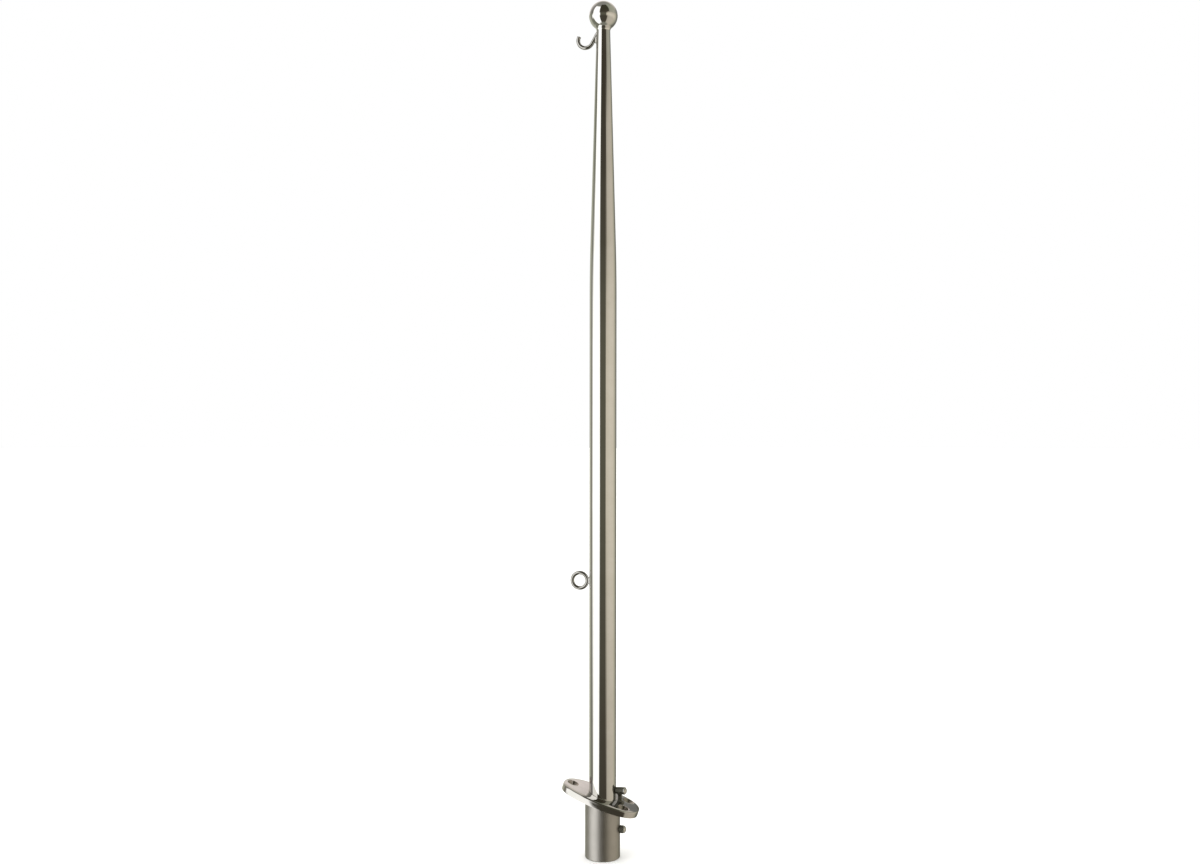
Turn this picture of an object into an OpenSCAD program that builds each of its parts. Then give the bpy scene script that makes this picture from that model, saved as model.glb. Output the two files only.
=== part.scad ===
// Stainless flagstaff in a raked deck socket.
// The staff stands along +Z. The origin is on the staff's axis, in the plane of the flange's underside.
// The flag fittings look towards -X, and the locking screws towards +X.

/* [Staff] */
// Outside diameter of the staff's tube
staff_d = 25.4; // [20:0.2:30]
// Wall of the staff's tube
staff_wall = 1.5; // [1:0.1:2.5]
// Height of the tube's upper end above the origin
staff_h = 727; // [450:1:1200]
// Diameter of the neck at the tube's upper end
neck_d = 12.9; // [10:0.1:16]
// Length of the taper below the neck
taper_l = 226; // [120:1:350]
// Length over which the taper rounds into the straight tube
taper_round = 50; // [20:1:80]
// Chamfer round the staff's foot
foot_chamfer = 0.8; // [0.3:0.1:1.2]

/* [Ball truck] */
// Diameter of the ball
ball_d = 27; // [20:0.5:36]
// Radius of the hollow between the neck and the ball
neck_fillet = 4.9; // [3:0.1:8]
// Length of the spigot inside the tube
spigot_l = 14; // [8:1:25]
// Gap round the spigot
spigot_gap = 0.1; // [0.05:0.01:0.3]

/* [Flag fittings] */
// Diameter of the rod in the hook and the eye
rod_d = 3.6; // [2.5:0.1:4.6]
// Radius of the bend along the middle of the rod
bend_r = 7.25; // [6:0.05:10]
// Drop of the hook's bend below the tube's upper end
hook_drop = 7.2; // [4:0.1:60]
// Distance from the staff's side to the middle of the hook's bend
hook_reach = 10.6; // [9:0.1:14]
// Direction of the hook's tip, from +X towards +Z
hook_tip_a = 150; // [110:1:170]
// Direction in which the hook's bend ends and its shank begins
hook_shank_a = 330; // [325:1:340]
// Height of the eye's middle above the origin
eye_z = 208.6; // [80:0.1:400]
// Gap between the eye and the staff, which the weld fills
eye_gap = 0.7; // [0.2:0.1:1]
// Radius of the weld beads
weld_r = 2; // [1.8:0.1:2.6]
// Straight length of the weld beads
weld_l = 3.4; // [2:0.1:5]

/* [Flange] */
// Angle of the flange from square to the staff
rake = 18; // [5:1:25]
// Length of the oval
flange_l = 75.6; // [72:0.2:92]
// Width of the oval
flange_w = 45; // [44:0.2:60]
// Fullness of the oval, where 2 is an ellipse
flange_fullness = 2.4; // [2.2:0.1:3.5]
// Thickness of the flange
flange_t = 6.8; // [5.5:0.1:9]
// Radius of the flange's upper edge
flange_round = 1.2; // [0.8:0.1:2.5]
// Distance of the oval's middle from the staff's axis, towards the flag side
flange_shift = 3; // [0:0.1:4]
// Distance of the single deck screw from the oval's end on the flag side
tail_edge = 8.6; // [8:0.1:10]
// Distance of the pair of deck screws from the oval's other end
pair_edge = 13.3; // [12:0.1:14]
// Distance between the two screws of the pair
pair_pitch = 22; // [20:0.5:24]
// Diameter of the deck screw holes
hole_d = 5.5; // [4.2:0.1:6.4]
// Diameter of the countersinks at the surface
sink_d = 10.4; // [8:0.1:11]

/* [Socket] */
// Outside diameter of the socket's tube
socket_d = 33; // [28:0.5:36]
// Depth of the socket below the origin
socket_l = 51.2; // [46:0.2:90]
// Depth of the tube's seat inside the flange
seat_t = 3.4; // [2:0.1:4]
// Gap round the tube in its seat
seat_gap = 0.05; // [0.02:0.01:0.1]
// Width of the relief round the tube, where the flange meets the deck
relief_w = 0.9; // [0.9:0.1:1.5]
// Depth of the relief
relief_t = 1; // [0.5:0.1:1.5]
// Clearance round the staff, on the radius
socket_fit = 0.08; // [0.05:0.01:0.1]
// Thickness of the socket's floor
floor_t = 4; // [2:0.5:6]
// Diameter of the drain hole in the floor
drain_d = 8; // [4:0.5:12]
// Chamfer round the socket's lower end
socket_chamfer = 1; // [0.4:0.1:1.5]

/* [Locking screws] */
// Diameter of both screws' shanks
shank_d = 4; // [3:0.1:5]
// Clearance round a shank, on the radius
shank_fit = 0.05; // [0.05:0.01:0.1]
// Gap between a screw's point and the staff
point_gap = 0.1; // [0.05:0.01:0.2]
// Height of the upper screw above the origin
upper_z = 12.2; // [10.5:0.1:16]
// Diameter of the upper screw's barrel
barrel_d = 6.8; // [6.2:0.1:8.4]
// Length of the barrel
barrel_l = 7.3; // [5.5:0.1:9]
// Gap between the barrel and the staff
barrel_gap = 0.4; // [0.3:0.1:0.6]
// Diameter of the post under the barrel
post_d = 3.8; // [3.2:0.1:5]
// Radius of the hollow round the post's foot
post_fillet = 1.6; // [1:0.1:2]
// Diameter of the upper screw's round head
head_d = 7.2; // [6:0.1:9]
// Length of the upper screw's head
head_l = 3; // [2:0.1:3.6]
// Depth of the lower screw below the origin
lower_z = 24; // [18:0.5:32]
// Diameter of the lower screw's boss
boss_d = 7.2; // [6:0.1:8]
// Length of the boss outside the socket
boss_l = 3.6; // [3:0.1:6]
// Diameter of the lower screw's round head
cap_d = 6.8; // [5:0.1:7.6]
// Length of the lower screw's head
cap_l = 2.7; // [1.5:0.1:3]

/* [Hidden] */
$fn = 96;

staff_r = staff_d / 2;
neck_r = neck_d / 2;
ball_r = ball_d / 2;
rod_r = rod_d / 2;
socket_r = socket_d / 2;
bore_r = staff_r + socket_fit;
foot_z = floor_t - socket_l;
shank_hole_d = shank_d + 2 * shank_fit;
cut = 1;
far = 200;

// The ball sits tangent to the neck's hollow, which meets the tube's upper end.
hollow_drop = sqrt(pow(ball_r + neck_fillet, 2) - pow(neck_r + neck_fillet, 2));
ball_z = staff_h + hollow_drop;

// Radius of the tapered tube at a height
taper_z = staff_h - taper_l;
function taper_r(z) = staff_r - (staff_r - neck_r) * (z - taper_z) / taper_l;

// The hook's bend, and the point where its straight shank starts
hook_z = staff_h - hook_drop;
hook_x = -taper_r(hook_z) - hook_reach;
shank_x = hook_x + bend_r * cos(hook_shank_a);
shank_z = hook_z + bend_r * sin(hook_shank_a);
shank_lean = 360 - hook_shank_a;
shank_run = (-shank_x - neck_r / 2) / sin(shank_lean);
// The hook's bead runs down the staff from the point where the shank meets it.
weld_z = shank_z + (-shank_x - taper_r(hook_z)) / tan(shank_lean) - weld_l / 2 - weld_r;

eye_x = -staff_r - eye_gap - rod_r - bend_r;

// Places of the deck screws along the flange, from the staff's axis
tail_x = tail_edge - flange_l / 2 - flange_shift;
pair_x = flange_l / 2 - flange_shift - pair_edge;

// The screws' lengths along X
barrel_x = staff_r + barrel_gap;
barrel_end_x = barrel_x + barrel_l;
post_x = barrel_x + barrel_l / 2;
boss_end_x = socket_r + boss_l;
point_x = staff_r + point_gap;

module on_flange(height = 0) {
    rotate([0, rake, 0]) translate([0, 0, height]) children();
}

module along_x(x, z) {
    translate([x, 0, z]) rotate([0, 90, 0]) children();
}

// Outline of the staff from its foot to its neck, drawn a given depth under the surface
module staff_outline(depth = 0) {
    r = staff_r - depth;
    top_r = neck_r - depth;
    steps = 10;
    half = taper_round / 2;
    round_pts = [for (i = [0 : steps]) let (t = i / steps)
        [r - pow(t, 2) * (r - top_r) * half / taper_l, taper_z + half * (2 * t - 1)]];
    polygon(concat([[0, foot_z], [r, foot_z]], round_pts, [[top_r, staff_h], [0, staff_h]]));
}

module ball_outline() {
    hollow_x = neck_r + neck_fillet;
    touch = ball_r / (ball_r + neck_fillet);
    intersection() {
        translate([0, ball_z]) circle(ball_r);
        translate([0, ball_z - ball_r - cut]) square([ball_r + cut, ball_d + 2 * cut]);
    }
    difference() {
        polygon([[0, staff_h], [neck_r, staff_h], [hollow_x, staff_h],
                 [hollow_x * touch, ball_z - hollow_drop * touch], [0, ball_z]]);
        translate([hollow_x, staff_h]) circle(neck_fillet);
    }
}

module staff_solid() {
    rotate_extrude() staff_outline();
    rotate_extrude() ball_outline();
}

// The upper half of a ball
module half_ball(r) {
    rotate_extrude() intersection() {
        circle(r);
        square(r);
    }
}

// Round rod bent through an angle, from +X towards +Y
module rod_bend(angle) {
    rotate_extrude(angle = angle) translate([bend_r, 0]) circle(rod_r);
}

// The hook is drawn from the top of its shank, which is straight, round to its tip.
module hook_rod() {
    bend_a = hook_shank_a - hook_tip_a;
    translate([hook_x, 0, hook_z]) rotate([-90, 0, 0]) rotate([0, 0, shank_lean]) {
        translate([bend_r, 0, 0]) rotate([90, 0, 0]) cylinder(h = shank_run, r = rod_r);
        rod_bend(bend_a);
        rotate([0, 0, bend_a]) translate([bend_r, 0, 0]) rotate([-90, 0, 0]) half_ball(rod_r);
    }
}

module eye_ring() {
    translate([eye_x, 0, eye_z]) rotate([90, 0, 0]) rod_bend(360);
}

module bead() {
    translate([0, 0, -weld_l / 2]) cylinder(h = weld_l, r = weld_r);
    for (side = [-1, 1]) translate([0, 0, side * weld_l / 2]) sphere(weld_r);
}

// The flange's outline is a superellipse, drawn a given distance inside its edge.
module oval(inset) {
    steps = 144;
    power = 2 / flange_fullness;
    function reach(half, part) = (half - inset) * sign(part) * pow(abs(part), power);
    polygon([for (i = [0 : steps - 1]) let (a = i * 360 / steps)
        [reach(flange_l / 2, cos(a)), reach(flange_w / 2, sin(a))]]);
}

// The oval's upper edge is rounded in even steps of a quarter circle.
module oval_plate() {
    steps = 5;
    edge_z = flange_t - flange_round;
    slice = 0.01;
    hull() {
        linear_extrude(edge_z) oval(0);
        for (i = [1 : steps]) let (a = i * 90 / steps)
            translate([0, 0, edge_z + flange_round * sin(a) - slice])
                linear_extrude(slice) oval(flange_round * (1 - cos(a)));
    }
}

module above(height) {
    on_flange(height) translate([-far, -far, 0]) cube(2 * far);
}

// Room for a tube under the flange, up to a height inside it
module recess(r, height) {
    difference() {
        translate([0, 0, -socket_l]) cylinder(h = far, r = r);
        above(height);
    }
}

module staff_bore() {
    translate([0, 0, foot_z]) cylinder(h = far, r = bore_r);
}

module staff_tube() {
    color("gainsboro") difference() {
        rotate_extrude() staff_outline();
        rotate_extrude() staff_outline(staff_wall);
        translate([0, 0, foot_z]) difference() {
            cylinder(h = foot_chamfer, r = staff_r + cut);
            cylinder(h = foot_chamfer, r1 = staff_r - foot_chamfer, r2 = staff_r);
        }
    }
}

module ball_truck() {
    color("gainsboro") {
        rotate_extrude() ball_outline();
        translate([0, 0, staff_h - spigot_l])
            cylinder(h = spigot_l + cut, r = neck_r - staff_wall - spigot_gap);
    }
}

module flag_hook() {
    color("silver") difference() {
        hook_rod();
        staff_solid();
    }
}

module hook_weld() {
    color("darkgray") difference() {
        translate([-taper_r(weld_z), 0, weld_z]) bead();
        staff_solid();
        hook_rod();
    }
}

module halyard_eye() {
    color("silver") eye_ring();
}

module eye_weld() {
    color("darkgray") difference() {
        translate([-staff_r, 0, eye_z]) bead();
        staff_solid();
        eye_ring();
    }
}

module deck_screw_hole(x, y) {
    translate([x, y, -cut]) cylinder(h = flange_t + 2 * cut, d = hole_d);
    translate([x, y, flange_t - (sink_d - hole_d) / 2])
        cylinder(h = (sink_d - hole_d) / 2 + cut, d1 = hole_d, d2 = sink_d + 2 * cut);
}

module flange() {
    color("lightgray") difference() {
        on_flange() difference() {
            translate([-flange_shift, 0, 0]) oval_plate();
            deck_screw_hole(tail_x, 0);
            for (side = [-1, 1]) deck_screw_hole(pair_x, side * pair_pitch / 2);
        }
        staff_bore();
        recess(socket_r + seat_gap, seat_t);
        recess(socket_r + relief_w, relief_t);
    }
}

module socket_tube() {
    color("darkgray") difference() {
        translate([0, 0, -socket_l]) {
            cylinder(h = socket_chamfer, r1 = socket_r - socket_chamfer, r2 = socket_r);
            translate([0, 0, socket_chamfer]) cylinder(h = far, r = socket_r);
        }
        above(seat_t);
        staff_bore();
        translate([0, 0, -socket_l - cut]) cylinder(h = floor_t + 2 * cut, d = drain_d);
        along_x(0, -lower_z) cylinder(h = far, d = shank_hole_d);
    }
}

module screw_barrel() {
    color("silver") difference() {
        union() {
            along_x(0, upper_z) cylinder(h = barrel_end_x, d = barrel_d);
            translate([post_x, 0, upper_z - far]) cylinder(h = far, d = post_d);
            post_foot();
        }
        on_flange(flange_t - 2 * far) translate([-far, -far, 0]) cube(2 * far);
        cylinder(h = far, r = barrel_x);
        along_x(0, upper_z) cylinder(h = far, d = shank_hole_d);
    }
}

// The hollow round the post's foot stands square on the flange.
module post_foot() {
    foot_r = post_d / 2 + post_fillet;
    foot_x = (post_x - flange_t * sin(rake)) / cos(rake);
    on_flange(flange_t) translate([foot_x, 0, 0]) rotate_extrude() difference() {
        square([foot_r, post_fillet]);
        translate([foot_r, post_fillet]) circle(post_fillet);
    }
}

// A screw's round head, domed above a straight rim
module round_head(d, length) {
    dome_h = length * 0.7;
    dome_r = (pow(d / 2, 2) + pow(dome_h, 2)) / (2 * dome_h);
    rotate_extrude() intersection() {
        translate([0, length - dome_r]) circle(dome_r);
        square([d / 2, length]);
    }
}

module upper_screw() {
    color("silver") {
        along_x(point_x, upper_z) cylinder(h = barrel_end_x - point_x, d = shank_d);
        along_x(barrel_end_x, upper_z) round_head(head_d, head_l);
    }
}

module screw_boss() {
    color("darkgray") difference() {
        along_x(0, -lower_z) cylinder(h = boss_end_x, d = boss_d);
        translate([0, 0, -socket_l]) cylinder(h = socket_l, r = socket_r);
        along_x(0, -lower_z) cylinder(h = far, d = shank_hole_d);
    }
}

module lower_screw() {
    color("dimgray") {
        along_x(point_x, -lower_z) cylinder(h = boss_end_x - point_x, d = shank_d);
        along_x(boss_end_x, -lower_z) round_head(cap_d, cap_l);
    }
}

staff_tube();
ball_truck();
flag_hook();
hook_weld();
halyard_eye();
eye_weld();
flange();
socket_tube();
screw_barrel();
upper_screw();
screw_boss();
lower_screw();
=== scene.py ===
"""Looks of the flagstaff: mirror-polished staff and ball, bent-rod fittings with weld beads,
a buffed deck flange, a satin socket and two locking screws."""
import math

import bmesh
import bpy
from mathutils import Matrix, Vector, geometry, noise


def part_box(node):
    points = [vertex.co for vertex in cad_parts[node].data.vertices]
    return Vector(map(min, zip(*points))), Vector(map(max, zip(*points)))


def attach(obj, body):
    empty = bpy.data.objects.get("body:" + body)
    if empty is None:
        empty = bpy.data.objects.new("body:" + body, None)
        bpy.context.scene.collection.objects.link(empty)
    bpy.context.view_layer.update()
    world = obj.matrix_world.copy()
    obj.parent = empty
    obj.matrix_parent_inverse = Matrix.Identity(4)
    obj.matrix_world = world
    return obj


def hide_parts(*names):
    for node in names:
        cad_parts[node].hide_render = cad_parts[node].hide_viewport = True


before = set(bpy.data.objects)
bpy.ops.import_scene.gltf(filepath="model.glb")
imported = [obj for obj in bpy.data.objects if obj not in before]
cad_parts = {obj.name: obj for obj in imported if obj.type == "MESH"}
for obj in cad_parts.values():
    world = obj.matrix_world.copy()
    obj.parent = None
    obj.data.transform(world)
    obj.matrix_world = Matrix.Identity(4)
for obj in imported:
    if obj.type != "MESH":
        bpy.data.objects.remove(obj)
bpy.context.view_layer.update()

MM = 0.001

# ---------------------------------------------------------------- sizes, from the frame
# Sizes that a node's box doesn't give are the CAD's own, in millimetres.
staff_low, staff_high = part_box("staff_tube")
ball_low, ball_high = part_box("ball_truck")
hook_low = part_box("flag_hook")[0]
eye_low, eye_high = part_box("halyard_eye")
socket_low, socket_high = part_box("socket_tube")
head_low, head_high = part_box("upper_screw")
boss_low, boss_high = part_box("screw_boss")
cap_low, cap_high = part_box("lower_screw")
flange_low, flange_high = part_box("flange")

staff_r = (staff_high.x - staff_low.x) / 2
staff_wall = 1.5 * MM
ball_r = (ball_high.x - ball_low.x) / 2
ball_z = ball_high.z - ball_r
rod_r = (eye_high.y - eye_low.y) / 2
bend_r = (eye_high.z - eye_low.z) / 2 - rod_r
socket_r = (socket_high.x - socket_low.x) / 2
socket_fit = 0.08 * MM
socket_bore = staff_r + socket_fit
rake = math.radians(18)

# The oval flange, in its own frame: x along its length, z square to its face
flange_t = 6.8 * MM
flange_shift = 3 * MM
flange_half_l = 37.8 * MM
flange_half_w = (flange_high.y - flange_low.y) / 2
flange_fullness = 2.4
flange_round = 1.2 * MM
deck_holes = [(-32.2 * MM, 0), (21.5 * MM, -11 * MM), (21.5 * MM, 11 * MM)]
hole_r = 2.75 * MM
sink_r = 5.2 * MM

# ---------------------------------------------------------------- camera, as the photograph
camera_turn = math.radians(14)
camera_roll = math.radians(0.06)
camera_far = 1.16
camera_rise = 0.4003
camera_side = 0.0028
back = Vector((math.sin(camera_turn), -math.cos(camera_turn), 0))
right = Vector((math.cos(camera_turn), math.sin(camera_turn), 0))
cam_data = bpy.data.cameras.new("camera")
cam_data.sensor_width = 36
cam_data.lens = 36.9
cam_data.clip_start, cam_data.clip_end = 0.01, 50
camera = bpy.data.objects.new("camera", cam_data)
bpy.context.collection.objects.link(camera)
camera.location = back * camera_far - right * camera_side
camera.location.z = socket_low.z + camera_rise
camera.rotation_mode = "QUATERNION"
camera.rotation_quaternion = ((-back).to_track_quat("-Z", "Y")
                              @ Matrix.Rotation(camera_roll, 3, "Z").to_quaternion())
bpy.context.scene.camera = camera
bpy.context.scene.view_settings.view_transform = "Standard"

# ---------------------------------------------------------------- mesh makers


def add_piece(name, bm, body, material, node, sharp=35):
    """Turns a bmesh into a piece that rides on a body and stands for a CAD node.
    Edges sharper than an angle in degrees stay sharp."""
    bmesh.ops.remove_doubles(bm, verts=bm.verts, dist=1e-7)
    bmesh.ops.recalc_face_normals(bm, faces=bm.faces)
    mesh = bpy.data.meshes.new(name)
    bm.to_mesh(mesh)
    bm.free()
    mesh.shade_smooth()
    mesh.set_sharp_from_angle(angle=math.radians(sharp))
    mesh.materials.append(material)
    piece = bpy.data.objects.new(name, mesh)
    bpy.context.collection.objects.link(piece)
    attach(piece, body)
    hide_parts(node)
    return piece


def bridge(bm, first, second):
    """Faces between two closed loops of vertices; a loop of one vertex is a point."""
    n = max(len(first), len(second))
    for i in range(n):
        j = (i + 1) % n
        corners = [first[i % len(first)], second[i % len(second)],
                   second[j % len(second)], first[j % len(first)]]
        corners = list(dict.fromkeys(corners))
        if len(corners) > 2:
            bm.faces.new(corners)


def lathe(bm, outline, place=Matrix(), segments=192, closed=False):
    """A surface of revolution about Z through (radius, height) points."""
    loops = []
    for r, z in outline:
        steps = segments if r > 1e-7 else 1
        loops.append([bm.verts.new(place @ Vector((
            r * math.cos(math.tau * i / segments), r * math.sin(math.tau * i / segments), z)))
            for i in range(steps)])
    for first, second in zip(loops, loops[1:]):
        bridge(bm, first, second)
    if closed:
        bridge(bm, loops[-1], loops[0])


def arc(centre, radius, start, end, steps):
    """Points (r, z) along an arc, with its angles in degrees from the r axis."""
    turns = [math.radians(start + (end - start) * i / steps) for i in range(steps + 1)]
    return [(centre[0] + radius * math.cos(a), centre[1] + radius * math.sin(a)) for a in turns]


def sweep(bm, path, radii, segments=40, closed=False):
    """A round rod along a path in the XZ plane, with its own radius at each point."""
    loops = []
    n = len(path)
    for k, (p, r) in enumerate(zip(path, radii)):
        after = path[(k + 1) % n] if closed or k < n - 1 else p
        before = path[k - 1] if closed or k > 0 else p
        side = (after - before).normalized().cross(Vector((0, 1, 0)))
        if r < 1e-7:
            loops.append([bm.verts.new(p)])
            continue
        turns = [math.tau * i / segments for i in range(segments)]
        loops.append([bm.verts.new(p + r * (math.cos(a) * side + math.sin(a) * Vector((0, 1, 0))))
                      for a in turns])
    for first, second in zip(loops, loops[1:]):
        bridge(bm, first, second)
    if closed:
        bridge(bm, loops[-1], loops[0])
    elif len(loops[-1]) > 2:
        bm.faces.new(loops[-1])


# ---------------------------------------------------------------- materials


def noise_texture(nodes, links, vector, scale, detail=3.0, roughness=0.6):
    """A noise texture's value on a vector socket."""
    texture = nodes.new("ShaderNodeTexNoise")
    texture.inputs["Scale"].default_value = scale
    texture.inputs["Detail"].default_value = detail
    texture.inputs["Roughness"].default_value = roughness
    links.new(vector, texture.inputs["Vector"])
    return texture.outputs["Fac"]


def remap(nodes, links, value, low, high, start=0.35, stop=0.65):
    """A value between start and stop, spread from low to high."""
    ranger = nodes.new("ShaderNodeMapRange")
    ranger.inputs["From Min"].default_value = start
    ranger.inputs["From Max"].default_value = stop
    ranger.inputs["To Min"].default_value = low
    ranger.inputs["To Max"].default_value = high
    links.new(value, ranger.inputs["Value"])
    return ranger.outputs["Result"]


def color_mix(nodes, links, factor, first, second):
    """Mixes two colours, each given as a colour or as a socket, by a factor socket."""
    mix = nodes.new("ShaderNodeMix")
    mix.data_type = "RGBA"
    # A Mix node keeps its sockets for numbers and vectors before those for colours.
    factor_in, first_in, second_in = mix.inputs[0], mix.inputs[6], mix.inputs[7]
    links.new(factor, factor_in)
    for value, socket in ((first, first_in), (second, second_in)):
        if isinstance(value, tuple):
            socket.default_value = (*value, 1)
        else:
            links.new(value, socket)
    return mix.outputs[2]


def stretched(nodes, links, vector, scale):
    """Object coordinates scaled by its own factor on each axis."""
    mapping = nodes.new("ShaderNodeMapping")
    mapping.inputs["Scale"].default_value = scale
    links.new(vector, mapping.inputs["Vector"])
    return mapping.outputs["Vector"]


def metal(name, color, stain, roughness, grain, grain_depth, wave_scale, wave_depth, pit_depth=0):
    """Bare steel: its tone drifts to a stain colour, and its polish between two roughnesses.
    The grain is a noise with a scale for each axis, the wave a slow unevenness of the surface.
    Depths are in metres."""
    material = bpy.data.materials.new(name)
    material.use_nodes = True
    nodes, links = material.node_tree.nodes, material.node_tree.links
    shader = nodes["Principled BSDF"]
    shader.inputs["Metallic"].default_value = 1.0
    place = nodes.new("ShaderNodeTexCoord").outputs["Object"]

    drift = remap(nodes, links, noise_texture(nodes, links, place, 60), 0, 1)
    links.new(color_mix(nodes, links, drift, color, stain), shader.inputs["Base Color"])

    streaks = noise_texture(nodes, links, stretched(nodes, links, place, grain), 1.0, detail=4)
    smudges = noise_texture(nodes, links, place, 140, detail=5)
    polish = nodes.new("ShaderNodeMath")
    polish.operation = "ADD"
    smooth, rough = roughness
    links.new(remap(nodes, links, streaks, 0, (rough - smooth) / 2), polish.inputs[0])
    links.new(remap(nodes, links, smudges, smooth, (smooth + rough) / 2), polish.inputs[1])
    links.new(polish.outputs[0], shader.inputs["Roughness"])

    normal = None
    wave = noise_texture(nodes, links, place, wave_scale, detail=2)
    layers = [(streaks, grain_depth), (wave, wave_depth)]
    if pit_depth:
        pits = noise_texture(nodes, links, place, 1400, detail=2)
        layers.append((pits, pit_depth))
    for height, depth in layers:
        bump = nodes.new("ShaderNodeBump")
        bump.inputs["Strength"].default_value = 1.0
        bump.inputs["Distance"].default_value = depth
        links.new(height, bump.inputs["Height"])
        if normal:
            links.new(normal, bump.inputs["Normal"])
        normal = bump.outputs["Normal"]
    links.new(normal, shader.inputs["Normal"])
    return material


# Grains: drawn along the staff, or the same every way
ALONG = (2500, 2500, 30)
EVEN = (900, 900, 900)
COARSE = (700, 700, 700)

staff_metal = metal("staff_polish", (0.76, 0.75, 0.73), (0.72, 0.71, 0.68), (0.03, 0.07),
                    ALONG, 2e-8, 25, 4e-7)
ball_metal = metal("ball_polish", (0.78, 0.77, 0.75), (0.74, 0.73, 0.70), (0.03, 0.07),
                   EVEN, 1e-8, 60, 3e-7)
rod_metal = metal("rod_polish", (0.46, 0.45, 0.43), (0.38, 0.37, 0.34), (0.07, 0.15),
                  EVEN, 3e-7, 300, 2e-6)
weld_metal = metal("weld_metal", (0.58, 0.57, 0.55), (0.50, 0.48, 0.44), (0.12, 0.26),
                  EVEN, 4e-6, 900, 1e-5)
flange_metal = metal("flange_cast", (0.64, 0.62, 0.60), (0.59, 0.58, 0.55), (0.06, 0.11),
                     COARSE, 1e-6, 90, 6e-6)
sink_metal = metal("sink_bare", (0.52, 0.47, 0.43), (0.40, 0.35, 0.31), (0.14, 0.26),
                   EVEN, 3e-6, 600, 4e-6)
socket_metal = metal("socket_satin", (0.51, 0.49, 0.46), (0.47, 0.45, 0.42), (0.42, 0.50),
                     ALONG, 3e-6, 60, 2e-6)
screw_metal = metal("screw_steel", (0.66, 0.65, 0.62), (0.56, 0.55, 0.52), (0.10, 0.22),
                    EVEN, 2e-6, 500, 3e-6)
# The dark tone is painted shade: it stands in for the shadow on the screw barrel and its post,
# and the boss shares it. The pits and grain are the surface's own.
shade_painted_barrel_metal = metal("barrel_painted_shade", (0.25, 0.245, 0.215), (0.14, 0.135, 0.11), (0.46, 0.62),
                     EVEN, 6e-6, 400, 1e-5, pit_depth=2e-5)

# ---------------------------------------------------------------- staff and ball
taper_l = 226 * MM
taper_round = 50 * MM
foot_round = 0.8 * MM
neck_fillet = 4.9 * MM
spigot_l = 14 * MM
spigot_gap = 0.1 * MM
spigot_edge = 0.5 * MM

staff_top = staff_high.z
neck_r = max(math.hypot(v.co.x, v.co.y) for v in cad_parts["staff_tube"].data.vertices
             if v.co.z > staff_top - 0.01 * MM)
taper_z = staff_top - taper_l
taper_slope = (staff_r - neck_r) / taper_l


def staff_radius(z):
    """Outside radius of the staff: straight, then a soft bend into the taper."""
    t = (z - taper_z) / taper_round + 0.5
    if t <= 0:
        return staff_r
    if t >= 1:
        return staff_r - taper_slope * (z - taper_z)
    return staff_r - taper_slope * taper_round * t * t / 2


def staff_outline():
    """The tube's outside from its upper end down to its foot, then its inside back up."""
    steps = 240
    foot = staff_low.z
    run = staff_top - foot - foot_round
    heights = [staff_top - run * i / steps for i in range(steps + 1)]
    outside = [(staff_radius(z), z) for z in heights]
    foot_edge = arc((staff_r - foot_round, foot + foot_round), foot_round, 0, -90, 8)[1:]
    inside = [(r - staff_wall, z) for r, z in reversed(outside)]
    inside[0] = (inside[0][0], foot)
    return outside + foot_edge + inside


bm = bmesh.new()
lathe(bm, staff_outline(), closed=True)
add_piece("staff_shell", bm, "staff", staff_metal, "staff_tube")

hollow_drop = ball_z - staff_top
touch_a = math.degrees(math.atan2(hollow_drop, neck_r + neck_fillet))
spigot_r = neck_r - staff_wall - spigot_gap
ball_outline = (arc((0, ball_z), ball_r, 90, -touch_a, 72)
                + arc((neck_r + neck_fillet, staff_top), neck_fillet, 180 - touch_a, 180, 20)[1:]
                + [(spigot_r, staff_top), (spigot_r, staff_top - spigot_l + spigot_edge),
                   (spigot_r - spigot_edge, staff_top - spigot_l), (0, staff_top - spigot_l)])
ball_outline[0] = (0, ball_high.z)
bm = bmesh.new()
lathe(bm, ball_outline)
add_piece("ball", bm, "staff", ball_metal, "ball_truck")

# ---------------------------------------------------------------- hook, ring and their welds
hook_tip_a, hook_shank_a = 150, 330
shank_end = 0.72
hook_x = hook_low.x + rod_r + bend_r
hook_z = hook_low.z + rod_r + bend_r
shank_lean = math.radians(360 - hook_shank_a)


def in_plane(x, z):
    """A point or a direction in the plane of the fittings."""
    return Vector((x, 0, z))


def hook_path():
    """Middle line of the hook from its rounded tip to inside the staff, with its radii.
    The shank ends at a share of the neck's radius from the staff's axis."""
    bend = [in_plane(*p) for p in arc((hook_x, hook_z), bend_r, hook_tip_a, hook_shank_a, 64)]
    tip_turn = math.radians(hook_tip_a)
    tip_way = in_plane(math.sin(tip_turn), -math.cos(tip_turn))
    tip_steps, shank_steps = 10, 8
    turns = [math.pi / 2 * i / tip_steps for i in range(tip_steps)]
    tip = [bend[0] - tip_way * rod_r * math.cos(a) for a in turns]
    shank_way = in_plane(math.sin(shank_lean), math.cos(shank_lean))
    run = (-bend[-1].x - shank_end * neck_r) / math.sin(shank_lean)
    shank = [bend[-1] + shank_way * run * i / shank_steps for i in range(1, shank_steps + 1)]
    straight = [rod_r] * (len(bend) + shank_steps)
    return tip + bend + shank, [rod_r * math.sin(a) for a in turns] + straight


bm = bmesh.new()
path, radii = hook_path()
sweep(bm, path, radii)
add_piece("flag_hook_rod", bm, "staff", rod_metal, "flag_hook")

eye_x = eye_low.x + rod_r + bend_r
eye_z = eye_low.z + rod_r + bend_r
bm = bmesh.new()
ring_path = [in_plane(*p) for p in arc((eye_x, eye_z), bend_r, 0, 360, 128)[:-1]]
sweep(bm, ring_path, [rod_r] * len(ring_path), closed=True)
add_piece("halyard_ring", bm, "staff", rod_metal, "halyard_eye")

weld_r = 2 * MM
weld_l = 3.4 * MM
ripple_pitch = 0.9 * MM
ripple_depth = 0.12 * MM
ripple_bow = 0.28
lump_pitch = 1.6 * MM
lump_depth = 0.1 * MM


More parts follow.
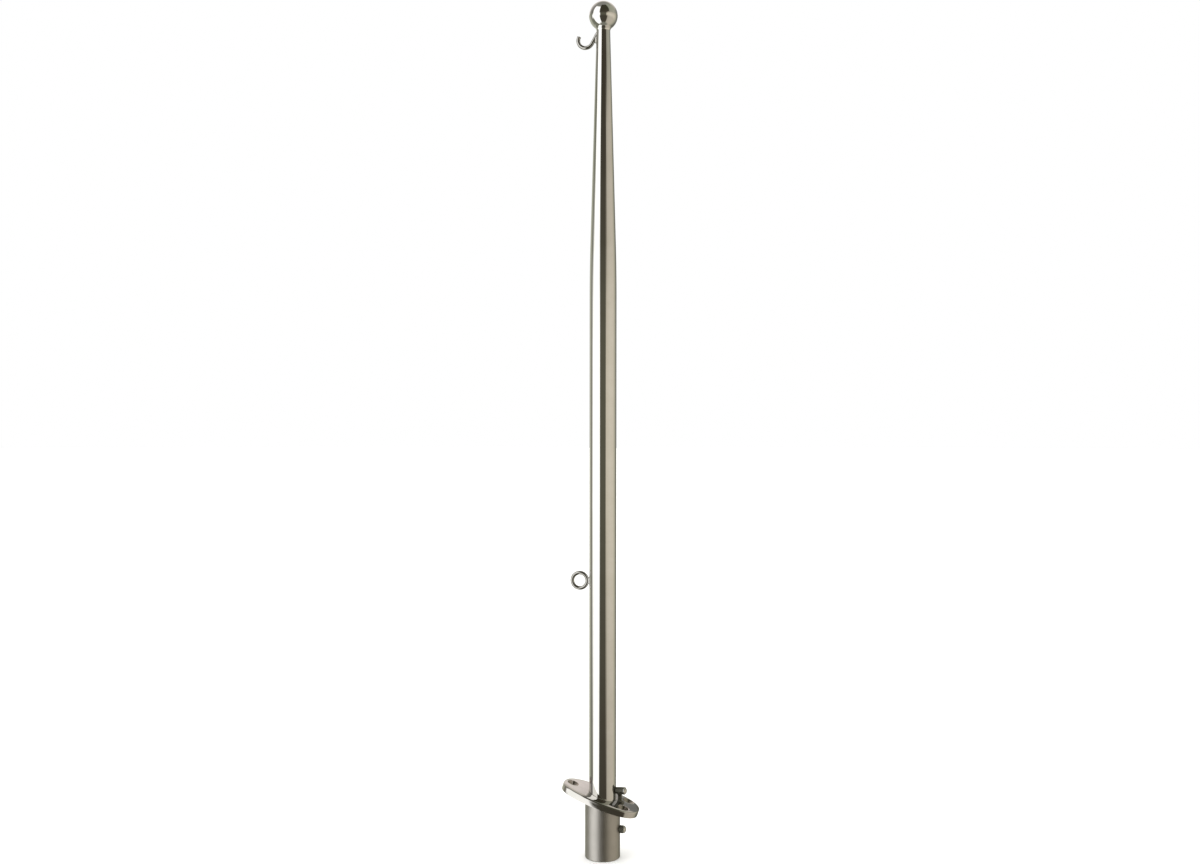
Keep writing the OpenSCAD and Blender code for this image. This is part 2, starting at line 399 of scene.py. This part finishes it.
def weld_bead(name, x, z, node):
    """A bead that runs down the staff, with the bowed ripples of a hand-laid weld."""
    half = weld_l / 2
    side = [(weld_r, half - weld_l * i / 24) for i in range(1, 24)]
    outline = arc((0, half), weld_r, 90, 0, 24) + side + arc((0, -half), weld_r, 0, -90, 24)
    outline[0], outline[-1] = (0, half + weld_r), (0, -half - weld_r)
    bm = bmesh.new()
    lathe(bm, outline, segments=72)
    for v in bm.verts:
        along = v.co.z + ripple_bow * v.co.y * v.co.y / weld_r
        dip = ripple_depth * (0.5 - 0.5 * math.cos(math.tau * along / ripple_pitch))
        lump = lump_depth * (1 - noise.noise(v.co / lump_pitch))
        v.co -= Vector((v.co.x, v.co.y, 0)).normalized() * (dip + lump)
        v.co += in_plane(x, z)
    add_piece(name, bm, "staff", weld_metal, node)


hook_weld_low, hook_weld_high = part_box("hook_weld")
hook_weld_z = (hook_weld_low.z + hook_weld_high.z) / 2
weld_bead("hook_weld_bead", -staff_radius(hook_weld_z), hook_weld_z, "hook_weld")
weld_bead("eye_weld_bead", -staff_r, eye_z, "eye_weld")

# ---------------------------------------------------------------- flange
flange_turn = Matrix.Rotation(rake, 4, "Y")
seat_t = 3.4 * MM
seat_gap = 0.05 * MM
relief_w = 0.9 * MM
relief_t = 1 * MM
edge_soft = 0.35 * MM
face_step = 0.9 * MM
SINK_MATERIAL = 1


def superellipse(inset, steps=288):
    """Outline of the oval, an inset inside its edge, in the flange's frame."""
    power = 2 / flange_fullness

    def reach(half, part):
        return (half - inset) * math.copysign(abs(part) ** power, part)

    turns = [math.tau * i / steps for i in range(steps)]
    return [(reach(flange_half_l, math.cos(a)) - flange_shift, reach(flange_half_w, math.sin(a)))
            for a in turns]


def bore_ring(r, height, steps=192):
    """Where a tube of a radius round the staff's axis crosses a plane parallel to the flange."""
    return [((r * math.cos(math.tau * i / steps) - height * math.sin(rake)) / math.cos(rake),
             r * math.sin(math.tau * i / steps)) for i in range(steps)]


def hole_ring(hole, r, steps=72):
    """A circle round the middle of a deck screw hole."""
    return [(hole[0] + r * math.cos(math.tau * i / steps),
             hole[1] + r * math.sin(math.tau * i / steps)) for i in range(steps)]


crown_along = 0.22 * MM
crown_across = 0.1 * MM
shoulder_w = 3.6 * MM
shoulder_t = 0.9 * MM


def crown(u, v):
    """How far the buffed face falls away from its middle, and faster in a soft shoulder."""
    along, across = abs(u + flange_shift) / flange_half_l, abs(v) / flange_half_w
    share = (along ** flange_fullness + across ** flange_fullness) ** (1 / flange_fullness)
    to_edge = math.hypot(u + flange_shift, v) * (1 / max(1e-6, share) - 1)
    soft = max(0.0, 1 - to_edge / shoulder_w)
    return -(crown_along * along ** 2 + crown_across * across ** 2 + shoulder_t * soft ** 2)


def inside(u, v, ring):
    """Whether a point lies inside a closed outline."""
    hit = False
    for (a, b), (c, d) in zip(ring, ring[1:] + ring[:1]):
        if (b > v) != (d > v) and u < (c - a) * (v - b) / (d - b) + a:
            hit = not hit
    return hit


def face_points(holes, step):
    """Points in staggered rows over the flange's face, clear of its edge and its holes."""
    margin = superellipse(2.2 * MM, 96)
    rows = int((flange_half_l - 2 * MM) / step)
    columns = int((flange_half_w - 2 * MM) / step)
    for i in range(-rows, rows + 1):
        for j in range(-columns, columns + 1):
            u, v = i * step - flange_shift, (j + 0.5 * (i % 2)) * step
            if inside(u, v, margin) and all(
                    min(math.hypot(u - p[0], v - p[1]) for p in hole) > 0.5 * step
                    and not inside(u, v, hole) for hole in holes):
                yield u, v


def sheet_between(bm, outer, holes, loops, height, step=None):
    """A sheet bounded by vertex loops. With a step it is crowned, with inner points that far
    apart for a smooth shade; without one it is flat."""
    points, edges = [], []
    for ring in [outer] + holes:
        start = len(points)
        points += [Vector(p) for p in ring]
        edges += [(start + i, start + (i + 1) % len(ring)) for i in range(len(ring))]
    verts = [v for loop in loops for v in loop]
    if step:
        for u, v in face_points(holes, step):
            points.append(Vector((u, v)))
            verts.append(bm.verts.new((u, v, height + crown(u, v))))
    _, _, faces, orig, _, _ = geometry.delaunay_2d_cdt(points, edges, [], 0, 1e-9)
    for face in faces:
        ids = [orig[k][0] for k in face]
        middle = sum((points[k] for k in ids), Vector((0, 0))) / len(ids)
        if inside(*middle, outer) and not any(inside(*middle, hole) for hole in holes):
            bm.faces.new([verts[k] for k in ids])


def ring_of(bm, ring, height, crowned=False):
    """Vertices along an outline, at a height or that far from the crowned face."""
    return [bm.verts.new((u, v, height + (crown(u, v) if crowned else 0))) for u, v in ring]


def flange_sides(bm):
    """The flange's outside, from the underside up over the rounded shoulder."""
    loops = [ring_of(bm, superellipse(edge_soft), 0),
             ring_of(bm, superellipse(0.1 * edge_soft), 0.3 * edge_soft),
             ring_of(bm, superellipse(0), edge_soft)]
    for degrees in range(0, 91, 9):
        a = math.radians(degrees)
        inset = flange_round * (1 - math.cos(a))
        height = flange_t - flange_round + flange_round * math.sin(a)
        follow = 0.6 + 0.4 * min(1.0, inset / flange_round)
        loops.append([bm.verts.new((u, v, height + crown(u, v) * follow))
                      for u, v in superellipse(inset)])
    for first, second in zip(loops, loops[1:]):
        bridge(bm, first, second)
    return loops


def flange_bore(bm):
    """The staff's bore from the face down, then the tube's seat and the relief round it."""
    seat_r, relief_r = socket_r + seat_gap, socket_r + relief_w
    sizes = [(socket_bore + edge_soft, flange_t, True),
             (socket_bore + 0.1 * edge_soft, flange_t - 0.7 * edge_soft, True),
             (socket_bore, flange_t - 1.4 * edge_soft, True),
             (socket_bore, seat_t, False), (seat_r, seat_t, False), (seat_r, relief_t, False),
             (relief_r, relief_t, False), (relief_r, 0, False)]
    loops = [ring_of(bm, bore_ring(r, height), height, crowned) for r, height, crowned in sizes]
    for first, second in zip(loops, loops[1:]):
        bridge(bm, first, second)
    return loops


def flange_mesh():
    bm = bmesh.new()
    sides = flange_sides(bm)
    bore = flange_bore(bm)
    tops, bottoms, top_loops, low_loops = [], [], [], []
    for hole in deck_holes:
        sizes = [(sink_r + 0.25 * MM, flange_t), (sink_r, flange_t - 0.08 * MM),
                 (sink_r - 0.15 * MM, flange_t - 0.25 * MM),
                 (hole_r, flange_t - sink_r + hole_r), (hole_r, 0.2 * MM), (hole_r + 0.2 * MM, 0)]
        loops = [ring_of(bm, hole_ring(hole, r), h, h > flange_t / 2) for r, h in sizes]
        outer_faces = len(bm.faces)
        for first, second in zip(loops, loops[1:]):
            bridge(bm, first, second)
        bm.faces.ensure_lookup_table()
        for face in bm.faces[outer_faces:]:
            face.material_index = SINK_MATERIAL
        tops.append(hole_ring(hole, sizes[0][0]))
        bottoms.append(hole_ring(hole, sizes[-1][0]))
        top_loops.append(loops[0])
        low_loops.append(loops[-1])
    sheet_between(bm, superellipse(flange_round), [bore_ring(socket_bore + edge_soft, flange_t)]
                  + tops, [sides[-1], bore[0]] + top_loops, flange_t, face_step)
    sheet_between(bm, superellipse(edge_soft), [bore_ring(socket_r + relief_w, 0)] + bottoms,
                  [sides[0], bore[-1]] + low_loops, 0)
    bmesh.ops.transform(bm, matrix=flange_turn, verts=bm.verts)
    return bm


deck_flange = add_piece("deck_flange", flange_mesh(), "socket", flange_metal,
                        "flange", sharp=30)
deck_flange.data.materials.append(sink_metal)

# ---------------------------------------------------------------- socket tube
floor_t = 4 * MM
drain_r = 4 * MM
drain_edge = 0.3 * MM
socket_round = 1 * MM


def mitred_ring(bm, r, height):
    """The tube's upper rim, on a plane parallel to the flange."""
    return [bm.verts.new(flange_turn @ Vector((u, v, height))) for u, v in bore_ring(r, height)]


def flat_ring(bm, r, z, steps=192):
    turns = [math.tau * i / steps for i in range(steps)]
    return [bm.verts.new((r * math.cos(a), r * math.sin(a), z)) for a in turns]


bm = bmesh.new()
bottom = socket_low.z
floor_z = bottom + floor_t
lower_edge = arc((socket_r - socket_round, bottom + socket_round), socket_round, -90, 0, 8)
profile = [flat_ring(bm, r, z) for r, z in lower_edge]
profile += [flat_ring(bm, socket_r, z * MM) for z in (-40, -30, -20, -12)]
profile += [mitred_ring(bm, socket_r, seat_t), mitred_ring(bm, socket_bore, seat_t)]
profile += [flat_ring(bm, socket_bore, z) for z in (-20 * MM, floor_z)]
profile += [flat_ring(bm, drain_r + drain_edge, floor_z),
            flat_ring(bm, drain_r, floor_z - drain_edge),
            flat_ring(bm, drain_r, bottom + drain_edge),
            flat_ring(bm, drain_r + drain_edge, bottom)]
for first, second in zip(profile, profile[1:] + profile[:1]):
    bridge(bm, first, second)
add_piece("socket_shell", bm, "socket", socket_metal, "socket_tube")

# ---------------------------------------------------------------- locking screws
point_x = staff_r + 0.1 * MM
point_edge = 0.4 * MM
shank_r = 2 * MM
upper_z = (head_low.z + head_high.z) / 2
head_r = (head_high.z - head_low.z) / 2
head_x = head_high.x - 3 * MM
barrel_r = 3.4 * MM
barrel_edge = 0.35 * MM
barrel_x = staff_r + 0.4 * MM
post_r = 1.9 * MM
post_round = 2.2 * MM
post_x = (barrel_x + head_x) / 2
lower_z = (cap_low.z + cap_high.z) / 2
cap_r = (cap_high.z - cap_low.z) / 2
boss_r = (boss_high.z - boss_low.z) / 2
boss_x = boss_high.x
boss_edge = 0.3 * MM
rim_edge = 0.2 * MM


def sideways(z):
    """Turns a lathe's axis from Z to +X, at a height."""
    return Matrix.Translation((0, 0, z)) @ Matrix.Rotation(math.radians(90), 4, "Y")


def post_outline():
    """The post under the barrel, from the barrel's axis down to its hollow foot."""
    foot = flange_turn @ Vector(((post_x - flange_t * math.sin(rake)) / math.cos(rake), 0,
                                 flange_t - 0.4 * MM))
    neck = upper_z - barrel_r - 0.9 * MM
    foot_top, foot_end = foot.z + 0.4 * MM, foot.z - 1.6 * MM
    flare = [(0, upper_z), (post_r + 1.3 * MM, upper_z), (post_r + 1.1 * MM, neck + 1.6 * MM),
             (post_r + 0.5 * MM, neck + 0.8 * MM), (post_r + 0.1 * MM, neck + 0.2 * MM),
             (post_r, neck - 0.2 * MM), (post_r, foot.z + post_round + 0.6 * MM)]
    hollow = arc((post_r + post_round, foot_top + post_round), post_round, 180, 270, 9)
    return flare + hollow + [(post_r + post_round, foot_end), (0, foot_end)]


def locking_screw(name, node, start, end, r, z, sharp=35):
    """A screw from its point to its head: a straight rim with broken edges under a low dome."""
    bm = bmesh.new()
    lathe(bm, [(0, point_x), (shank_r - point_edge, point_x), (shank_r, point_x + point_edge),
               (shank_r, start), (0, start)], sideways(z), 64)
    dome_h = (end - start) * 0.7
    dome_r = (r ** 2 + dome_h ** 2) / (2 * dome_h)
    dome_a = math.degrees(math.asin(r / dome_r))
    lathe(bm, [(0, start), (r - rim_edge, start), (r, start + rim_edge)]
          + arc((0, end - dome_r), dome_r, 90 - dome_a, 90, 24), sideways(z), 96)
    add_piece(name, bm, "socket", screw_metal, node, sharp)


bm = bmesh.new()
barrel_start = barrel_x - 0.3 * MM
lathe(bm, [(0, barrel_start), (barrel_r - barrel_edge, barrel_start)]
      + arc((barrel_r - barrel_edge, head_x - barrel_edge), barrel_edge, 0, 90, 5)
      + [(0, head_x)], sideways(upper_z), 96)
lathe(bm, post_outline(), Matrix.Translation((post_x, 0, 0)), 72)
# Barrel and post wear the dark painted-shade steel.
add_piece("screw_barrel_cast", bm, "socket", shade_painted_barrel_metal, "screw_barrel")
locking_screw("upper_locking_screw", "upper_screw", head_x, head_high.x, head_r, upper_z,
              sharp=50)

bm = bmesh.new()
boss_start = socket_r - 1.2 * MM
lathe(bm, [(0, boss_start), (boss_r, boss_start)]
      + arc((boss_r - boss_edge, boss_x - boss_edge), boss_edge, 0, 90, 5) + [(0, boss_x)],
      sideways(lower_z), 96)
# The boss wears the same dark painted-shade steel.
add_piece("screw_boss_turned", bm, "socket", shade_painted_barrel_metal, "screw_boss")
locking_screw("lower_locking_screw", "lower_screw", boss_x, cap_high.x, cap_r, lower_z)

# ---------------------------------------------------------------- floor, light and surroundings
bm = bmesh.new()
bmesh.ops.create_circle(bm, cap_ends=True, radius=30, segments=96)
mesh = bpy.data.meshes.new("floor")
bm.to_mesh(mesh)
bm.free()
floor_material = bpy.data.materials.new("floor_white")
floor_material.use_nodes = True
floor_shader = floor_material.node_tree.nodes["Principled BSDF"]
floor_shader.inputs["Base Color"].default_value = (0.9, 0.9, 0.9, 1)
floor_shader.inputs["Roughness"].default_value = 0.9
floor_shader.inputs["Specular IOR Level"].default_value = 0.0
mesh.materials.append(floor_material)
floor = bpy.data.objects.new("floor", mesh)
bpy.context.collection.objects.link(floor)
floor.location.z = socket_low.z
floor.visible_glossy = False

sun_data = bpy.data.lights.new("overhead", "SUN")
sun_data.energy = 3.4
sun_data.angle = math.radians(170)
sun = bpy.data.objects.new("overhead", sun_data)
bpy.context.collection.objects.link(sun)
sun.visible_glossy = False

# The studio as the polished metal mirrors it: (degrees right of the camera, colour seen)
WHITE = (1.5, 1.5, 1.47)
level_bands = [
    (-180, (0.55, 0.55, 0.46)), (-135, (0.53, 0.53, 0.44)), (-124, (0.46, 0.46, 0.38)),
    (-118, (0.24, 0.23, 0.19)), (-105, (0.30, 0.29, 0.25)), (-97, WHITE), (-28, WHITE),
    (-25, (0.115, 0.11, 0.08)), (21, (0.115, 0.11, 0.08)), (26, (0.70, 0.64, 0.52)),
    (60, (0.78, 0.72, 0.60)), (95, (0.76, 0.69, 0.57)), (112, (0.60, 0.57, 0.45)),
    (126, (0.40, 0.39, 0.32)), (140, (0.20, 0.195, 0.17)), (166, (0.20, 0.195, 0.17)),
    (169, (0.55, 0.55, 0.46)), (180, (0.55, 0.55, 0.46))]
slant_bands = [
    (-180, (0.50, 0.51, 0.42)), (-135, (0.46, 0.47, 0.38)), (-120, (0.26, 0.27, 0.21)),
    (-106, (0.20, 0.20, 0.16)), (-91, (0.20, 0.20, 0.16)), (-86, WHITE), (-34, WHITE),
    (-30, (0.065, 0.06, 0.045)), (30, (0.065, 0.055, 0.04)), (37, (0.50, 0.46, 0.38)),
    (60, (0.58, 0.53, 0.44)), (95, (0.60, 0.54, 0.45)), (112, (0.52, 0.49, 0.38)),
    (126, (0.36, 0.35, 0.28)), (140, (0.16, 0.155, 0.13)), (166, (0.16, 0.155, 0.13)),
    (169, (0.55, 0.55, 0.46)), (180, (0.55, 0.55, 0.46))]
high_bands = [
    (-180, (0.98, 0.90, 0.86)), (-150, (0.95, 0.88, 0.84)), (-135, (0.40, 0.40, 0.36)),
    (-106, (0.20, 0.19, 0.17)), (-92, (0.20, 0.19, 0.17)), (-84, WHITE), (-34, WHITE),
    (-28, (0.05, 0.045, 0.03)), (44, (0.065, 0.055, 0.04)), (52, (0.38, 0.37, 0.30)),
    (95, (0.46, 0.45, 0.37)), (126, (0.32, 0.32, 0.27)), (140, (0.21, 0.21, 0.20)),
    (166, (0.21, 0.21, 0.20)), (168, (0.98, 0.90, 0.86)), (180, (0.98, 0.90, 0.86))]
top_bands = [
    (-180, (0.72, 0.67, 0.60)), (-140, (0.60, 0.56, 0.52)), (-115, (0.26, 0.25, 0.24)),
    (-92, (0.26, 0.25, 0.24)), (-84, WHITE), (-34, WHITE), (-28, (0.05, 0.045, 0.03)),
    (46, (0.05, 0.05, 0.03)), (56, (0.36, 0.37, 0.29)), (100, (0.42, 0.42, 0.34)),
    (130, (0.45, 0.43, 0.37)), (150, (0.72, 0.67, 0.60)), (180, (0.72, 0.67, 0.60))]
cap_bands = [
    (-180, (0.28, 0.275, 0.25)), (-34, (0.28, 0.275, 0.25)), (-28, (0.05, 0.045, 0.03)),
    (46, (0.05, 0.05, 0.03)), (56, (0.34, 0.35, 0.28)), (100, (0.34, 0.35, 0.28)),
    (140, (0.28, 0.275, 0.25)), (180, (0.28, 0.275, 0.25))]
CEILING = (0.28, 0.275, 0.25)
GROUND = (0.22, 0.22, 0.18)

world = bpy.data.worlds.new("studio")
bpy.context.scene.world = world
world.use_nodes = True
nodes, links = world.node_tree.nodes, world.node_tree.links
direction = nodes.new("ShaderNodeTexCoord").outputs["Generated"]
turn = nodes.new("ShaderNodeMapping")
turn.inputs["Rotation"].default_value = (0, 0, -math.atan2(back.y, back.x))
links.new(direction, turn.inputs["Vector"])
split = nodes.new("ShaderNodeSeparateXYZ")
links.new(turn.outputs["Vector"], split.inputs[0])
azimuth = nodes.new("ShaderNodeMath")
azimuth.operation = "ARCTAN2"
links.new(split.outputs["Y"], azimuth.inputs[0])
links.new(split.outputs["X"], azimuth.inputs[1])
around = remap(nodes, links, azimuth.outputs[0], 0, 1, -math.pi, math.pi)


def band_ramp(bands):
    """A colour ramp over the azimuth."""
    ramp = nodes.new("ShaderNodeValToRGB")
    stops = ramp.color_ramp.elements
    while len(stops) > 1:
        stops.remove(stops[0])
    for k, (degrees, colour) in enumerate(bands):
        stop = stops[0] if k == 0 else stops.new(degrees / 360 + 0.5)
        stop.position = degrees / 360 + 0.5
        stop.color = (*colour, 1)
    links.new(around, ramp.inputs["Fac"])
    return ramp.outputs["Color"]


steepness = nodes.new("ShaderNodeMath")
steepness.operation = "ABSOLUTE"
links.new(split.outputs["Z"], steepness.inputs[0])
slanted = remap(nodes, links, steepness.outputs[0], 0, 1, 0.06, 0.28)
studio = color_mix(nodes, links, slanted, band_ramp(level_bands), band_ramp(slant_bands))
height = split.outputs["Z"]
for low, high, seen in ((0.29, 0.33, band_ramp(high_bands)), (0.48, 0.56, band_ramp(top_bands)),
                        (0.80, 0.86, band_ramp(cap_bands)), (0.965, 0.985, CEILING),
                        (-0.86, -0.95, GROUND)):
    studio = color_mix(nodes, links, remap(nodes, links, height, 0, 1, low, high), studio, seen)
behind = nodes.new("ShaderNodeLightPath").outputs["Is Camera Ray"]
links.new(color_mix(nodes, links, behind, studio, (1.0, 1.0, 1.0)),
          nodes["Background"].inputs["Color"])
